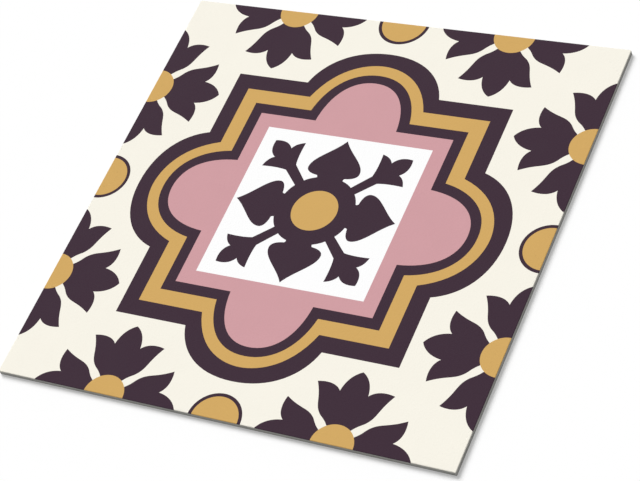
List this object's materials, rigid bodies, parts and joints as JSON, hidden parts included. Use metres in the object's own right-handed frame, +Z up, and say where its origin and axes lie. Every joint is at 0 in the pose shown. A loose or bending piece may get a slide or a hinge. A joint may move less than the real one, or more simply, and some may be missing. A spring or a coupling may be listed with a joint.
{
  "type": "vinyl floor tile",
  "caption": "Thin square vinyl floor tile with a printed traditional ornament on its wear face, crisp die-cut sides and a flat back to bond down.",
  "frame": {"origin": "centre of the underside, on the floor that the tile lies on", "axes": "+Z up out of the printed wear face; +X and +Y parallel to the cut sides"},
  "size_m": [0.3048, 0.3048, 0.0035],
  "materials": {
    "printed_vinyl": "matt printed wear layer over grey filled vinyl"
  },
  "bodies": {
    "root": {"tile": "printed_vinyl"}
  },
  "joints": []
}
